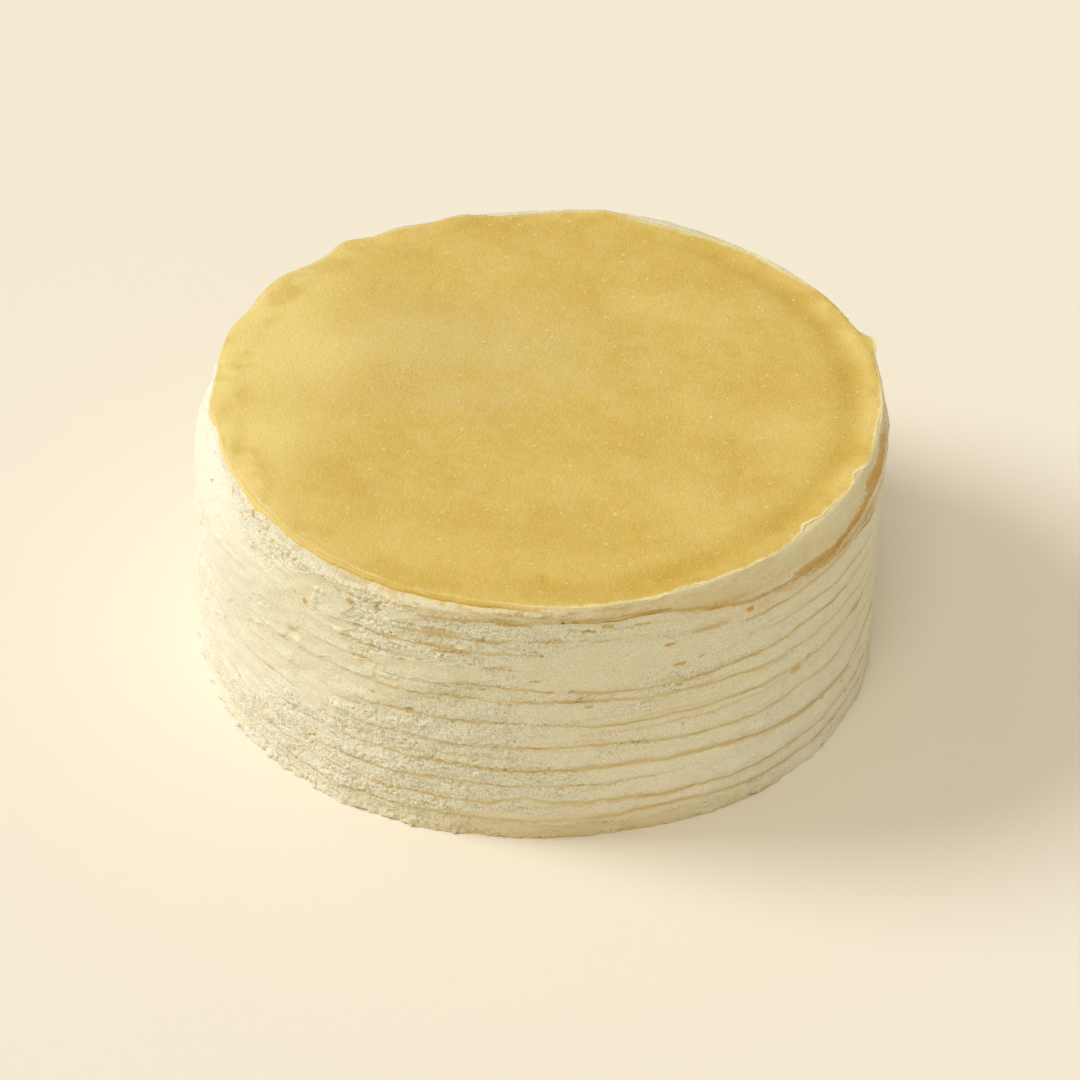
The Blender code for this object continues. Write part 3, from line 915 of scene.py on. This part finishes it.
# The inner disc is a square grid bent round: each square ring becomes a circle, and its corners lie
# on the diagonals.
side = np.linspace(-1, 1, GRID + 1)
u, v = np.meshgrid(side, side)
wide = np.abs(u) >= np.abs(v)
with np.errstate(divide="ignore", invalid="ignore"):
    spin = np.nan_to_num(np.where(wide, np.pi / 4 * v / u, np.pi / 2 - np.pi / 4 * u / v))
out = np.where(wide, u, v)
reach = INNER_DISC * all_round(fold_radius, out * np.cos(spin), out * np.sin(spin))
x, y = out * np.cos(spin) * reach, out * np.sin(spin) * reach
disc = np.stack([x, y, top_height(x, y, np.abs(out) * INNER_DISC)], -1).reshape(-1, 3)
index = np.arange((GRID + 1) ** 2).reshape(GRID + 1, GRID + 1)
disc_quads = np.stack([index[:-1, :-1], index[:-1, 1:], index[1:, 1:], index[1:, :-1]], -1).reshape(-1, 4)
edge = np.unique(np.r_[index[0], index[-1], index[:, 0], index[:, -1]])
edge = edge[np.argsort(np.round(np.arctan2(disc[edge, 1], disc[edge, 0]) % (2 * np.pi), 9))]

# Rings of two points to each point of the disc's edge: the rim, the fold, the skirt, its cut edge.
across = np.linspace(0, 1, RIM_ROWS + 1)[1:, None]
share = 1 - (1 - INNER_DISC) * (1 - across) ** 1.4
jagged = 1.2 * rim_bumps(26, 512) + 0.9 * rim_bumps(12, 513) + 0.40 * rim_bumps(4.5, 514)
jagged += 0.26 * rim_bumps(1.7, 518)
notched = -1.5 * (beside(321, 4.5) + beside(337.5, 3))
wavy = 0.8 * rim_bumps(30, 516) + 0.35 * rim_bumps(9, 515)
on_tab = beside(16, 11)
outline = ragged_rim * (1 - 0.7 * on_tab) * (jagged + notched) + (1 - ragged_rim) * wavy
outline += sum(outwards * beside(at, long) for at, long, outwards, upwards in TABS)
lifted = sum(upwards * beside(at, long) for at, long, outwards, upwards in TABS)
flat_radius = share * fold_radius + outline * step(across, 0.2, 1.0)
flat_height = top_height(flat_radius * np.cos(angle), flat_radius * np.sin(angle), share * np.ones(LANES))
# The ragged edge lies on the shoulder: it follows the round of the cream wherever it reaches past it.
past = np.clip((flat_radius - reach_of_shoulder) / (wall_radius[-1] - reach_of_shoulder), 0, 0.95)
lying = (1 - bevel) * (1 - np.sqrt(1 - past**2)) + bevel * past
lying = shoulder_end - (shoulder_end - shoulder_start) * lying + 0.06
lies = ragged_rim * (1 - on_tab) * step(across, 0.3, 1.0)
flat_height += lies * (np.minimum(lying, flat_height) - flat_height)
flat_height += lifted * step(across, 0.0, 1.0)
crinkle = 0.22 * rim_bumps(9, 525) + 0.12 * rim_bumps(3.5, 526)
flat_height += crinkle * step(across, 0.88, 1.0) * (1 - ragged_rim)
bend = np.linspace(0, FOLD_TURN, FOLD_ROWS + 1)[1:, None]
bend_size = FOLD * (1 - 0.92 * ragged_rim) * (1 + 0.4 * rim_bumps(14, 527))
bend_radius = flat_radius[-1] + bend_size * np.sin(bend)
bend_height = flat_height[-1] - bend_size * (1 - np.cos(bend))
bend_radius += (1 - ragged_rim) * np.sin(bend) * 0.16 * side_bumps(bend_height, 2.5, 0.8, 528)
hang = np.clip(0.50 + 0.60 * rim_bumps(12, 510) + 0.45 * rim_bumps(2.2, 511), 0.3, 2)
drop = np.linspace(0, 1, SKIRT_ROWS + 1)[1:, None] * hang
skirt_radius = bend_radius[-1] + drop * np.cos(FOLD_TURN)
skirt_height = bend_height[-1] - drop * np.sin(FOLD_TURN)
radius = np.vstack([flat_radius, bend_radius, skirt_radius, skirt_radius[-1] - 0.5, flat_radius[-1] - 1.5])
height = np.vstack([flat_height, bend_height, skirt_height, skirt_height[-1] - 0.15, rim_top - 2.6])
rings, first = len(radius), len(disc)
points = np.vstack([disc, ring_points(radius, height), (0, 0, top_low - 1.2)])
begin = first + LANES * np.arange(rings - 1)[:, None]
ring_quads = np.stack([begin + lane, begin + LANES + lane, begin + LANES + after, begin + after], -1)
ring_quads = ring_quads.reshape(-1, 4)
# Three triangles join each stretch of the disc's edge to the two lanes beside it.
half = np.arange(LANES // 2)
here, ahead = edge, np.roll(edge, -1)
even, odd, next_even = first + 2 * half, first + 2 * half + 1, first + (2 * half + 2) % LANES
stitch = np.vstack([
    np.stack([here, even, odd], -1),
    np.stack([here, odd, ahead], -1),
    np.stack([ahead, odd, next_even], -1),
])
last = first + LANES * (rings - 1)
under = np.stack([last + lane, np.full(LANES, len(points) - 1), last + after], -1)

# Pale: a broken line along the fold, partly a painted highlight where the rim turns down and partly its
# paler dry edge, and the thin ragged edge, widest at the right back.
fleck = 0.5 * rim_bumps(11, 520) + 0.35 * rim_bumps(4, 519) + 0.25 * rim_bumps(1.4, 521)
thin_line = np.clip(0.5 + 0.7 * rim_bumps(16, 522) + 0.6 * fleck, 0, 1)
frayed = np.clip(0.75 + 0.9 * fleck, 0.15, 1)
from_edge = radius[RIM_ROWS - 1] - flat_radius
line_at = 0.5 + 0.7 * rim_bumps(44, 523) + 0.4 * rim_bumps(12, 529)
pale_fold_highlight = np.exp(-(((from_edge - line_at) / 0.33) ** 2)) * thin_line * (1 - ragged_rim) * 0.8
pale_fold_highlight = pale_fold_highlight * (1 - 0.7 * beside(182, 55))
on_edge = np.exp(-((from_edge / (0.30 + 0.60 * frayed**2)) ** 2)) * frayed * ragged_rim
thin_film = beside(45, 45) * np.clip(0.75 + 0.8 * fleck, 0, 1)
on_edge = np.maximum(on_edge, 0.85 * thin_film * step(-from_edge, -2.6, -0.8))
rim_pale = np.zeros((rings, LANES))
rim_pale[:RIM_ROWS] = pale_fold_highlight + on_edge
rim_pale[RIM_ROWS:] = ragged_rim
pale = np.r_[np.zeros(first), np.clip(rim_pale, 0, 1).ravel(), 0]

# Deep: darker gold painted as shade in the trough inside the rim, more so towards the right, away from the
# light, on the folded skirt at the front and in the dents; and the deeper gold of patches near the rim.
x, y = points[:, 0], points[:, 1]
inside = all_round(fold_radius, x, y) - np.hypot(x, y)
turned_right = all_round(facing(-20, -0.3, 0.9), x, y)
trough = np.clip(0.70 + 0.7 * top_bumps(x, y, 21, 533), 0.2, 1)
deep = np.exp(-(((inside - 8.5) / 4.5) ** 2)) * (0.12 + 0.55 * turned_right) * trough
patchy = 0.7 * top_bumps(x, y, 5, 530) + top_bumps(x, y, 14, 531)
deep += 0.5 * step(patchy, -0.1, 0.8) * np.exp(-(((inside - 4) / 6) ** 2))
folded = np.r_[np.zeros(first + RIM_ROWS * LANES), np.ones((rings - RIM_ROWS) * LANES + 1)]
front_fold_shade = (1 - ragged_rim) * beside(262, 75)
deep += 0.5 * folded * all_round(front_fold_shade, x, y) + 0.7 * dents(x, y)

# Painted light: the left of the top made lighter, where the light from the left and its sheen fall, and a
# painted highlight on the raised rim at the right.
light = 0.85 * step(-x + 0.10 * y, 38, 98) + 0.30 * top_bumps(x, y, 30, 524)
lit_rim = all_round(beside(10, 75), x, y)
light = np.clip(light + 0.55 * lit_rim * np.exp(-(((inside - 3) / 2.8) ** 2)), 0, 1)
# Painted sheen: a paler, greyer patch left of the middle, where the lights' reflection lies, with browned
# pinholes in it.
dull = np.clip(bell(x, y, -28, 16, 40, 26) * (1 + 0.8 * top_bumps(x, y, 14, 532)), 0, 1)
pinholed = bell(x, y, -37, 7, 13, 8)
marks = {"pale": pale, "deep": deep, "light": light, "dull": dull, "pinholed": pinholed}

# Fried egg batter, pan side up: slightly glossy, clouded from paler to deeper gold, with dashes along
# the way the batter ran, drawn as coarse as they need to show, and small pale blisters.
RAN_ALONG = 48.0  # degrees from +X
top_material, tree = new_material("fried_egg_batter_crepe_top")
dashes = grain(tree, 0.7, 2.0, 0.6, along=RAN_ALONG, stretch=2.2)
blisters = grain(tree, 1.1, 0.0, 0.5, along=RAN_ALONG, stretch=1.4)
pinholes = add(tree, "ShaderNodeTexVoronoi", (("Vector", tilted(tree)), ("Scale", 1 / (1.1 * MM))))
# Besides its own colours: a painted sheen, painted light at the left and on the right rim, painted shade in
# the trough, the dents and the folded front skirt, and a painted highlight along the fold.
tint = coloured(
    tree,
    TOP_GOLD,
    (TOP_DEEP, (grain(tree, 24.0), 0.30, 0.75, 0.08, 0.42)),
    (TOP_DEEP, (grain(tree, 3.0), 0.30, 0.70, 0.0, 0.30)),
    (TOP_PALE, (grain(tree, 11.0), 0.48, 0.66, 0.0, 0.18)),
    (TOP_PAINTED_SHEEN, "dull", 0.6),
    (TOP_PAINTED_LIGHT, "light"),
    (TOP_DEEP, "deep", 0.8),
    (TOP_PALE, (dashes, 0.52, 0.68, 0.0, 0.25)),
    (TOP_DEEP, (dashes, 0.34, 0.48, 0.15, 0.0)),
    (TOP_RIM, (blisters, 0.76, 0.84, 0.0, 0.5)),
    (TOP_PINHOLE, (pinholes.outputs["Distance"], 0.16, 0.26, 0.9, 0.0), "pinholed"),
    (TOP_RIM, "pale"),
)
roughness = (grain(tree, 9.0), 0.35, 0.65, 0.42, 0.55)
moist_surface(tree, tint, roughness, dashes, 0.32, 0.9, (1.0, 0.6, 0.15), 0.6, 0.1)
top = make_piece("top_crepe_fried", points, (disc_quads, ring_quads, stitch, under), marks, top_material)
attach(top, "root")
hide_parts("top_crepe")

# ------------------------------------------------------------
# The studio: a pale floor, one big soft light from the left and warm light from all round.
FLOOR_HALF = 3.0  # metres, as the camera's lengths below are
corners = [(FLOOR_HALF * x, FLOOR_HALF * y, 0) for x, y in ((-1, -1), (1, -1), (1, 1), (-1, 1))]
floor_mesh = bpy.data.meshes.new("studio_floor")
floor_mesh.from_pydata(corners, [], [(0, 1, 2, 3)])
# Matt paper, uncoated: an even pale cream without gloss.
floor_material, tree = new_material("matt_paper_backdrop")
links = (("Base Color", linear("#F3E9DA")), ("Roughness", 0.9), ("Specular IOR Level", 0.1))
shader = add(tree, "ShaderNodeBsdfPrincipled", links)
add(tree, "ShaderNodeOutputMaterial", (("Surface", shader.outputs[0]),))
floor_mesh.materials.append(floor_material)
studio_floor = bpy.data.objects.new("studio_floor", floor_mesh)
bpy.context.scene.collection.objects.link(studio_floor)

world = bpy.data.worlds.new("studio_room")
bpy.context.scene.world = world
world.use_nodes = True
room_light = world.node_tree.nodes["Background"]
room_light.inputs["Color"].default_value = (0.98, 0.95, 0.78, 1.0)
room_light.inputs["Strength"].default_value = 0.45


def add_softbox(name, stands_at, elevation, energy, spread, colour):
    """A sun lamp as wide as a softbox: its azimuth, elevation and width are in degrees."""
    lamp = bpy.data.lights.new(name, "SUN")
    lamp.energy, lamp.angle, lamp.color = energy, np.radians(spread), colour
    aside, above = np.radians(stands_at), np.radians(elevation)
    toward = Vector((np.cos(aside) * np.cos(above), np.sin(aside) * np.cos(above), np.sin(above)))
    box = bpy.data.objects.new(name, lamp)
    box.rotation_euler = toward.to_track_quat("Z", "Y").to_euler()
    bpy.context.scene.collection.objects.link(box)


add_softbox("softbox_left", 172, 38, 1.92, 25, (0.94, 0.97, 1.0))
add_softbox("softbox_above", -103, 62, 0.78, 28, (1.0, 0.97, 0.88))

CAMERA_ELEVATION = np.radians(38.8)
CAMERA_DISTANCE = 1.060
CAMERA_ROLL = np.radians(1.76)
target = Vector((0.0010, -0.0003, 0.0277))
camera = bpy.data.cameras.new("camera")
camera.sensor_width = 36.0
camera.lens = 116.2
camera_object = bpy.data.objects.new("camera", camera)
away = Vector((0.0, -np.cos(CAMERA_ELEVATION), np.sin(CAMERA_ELEVATION)))
camera_object.matrix_world = (
    Matrix.Translation(target + CAMERA_DISTANCE * away)
    @ Matrix.Rotation(np.pi / 2 - CAMERA_ELEVATION, 4, "X")
    @ Matrix.Rotation(CAMERA_ROLL, 4, "Z")
)
bpy.context.scene.collection.objects.link(camera_object)
bpy.context.scene.camera = camera_object
bpy.context.scene.view_settings.view_transform = "Standard"
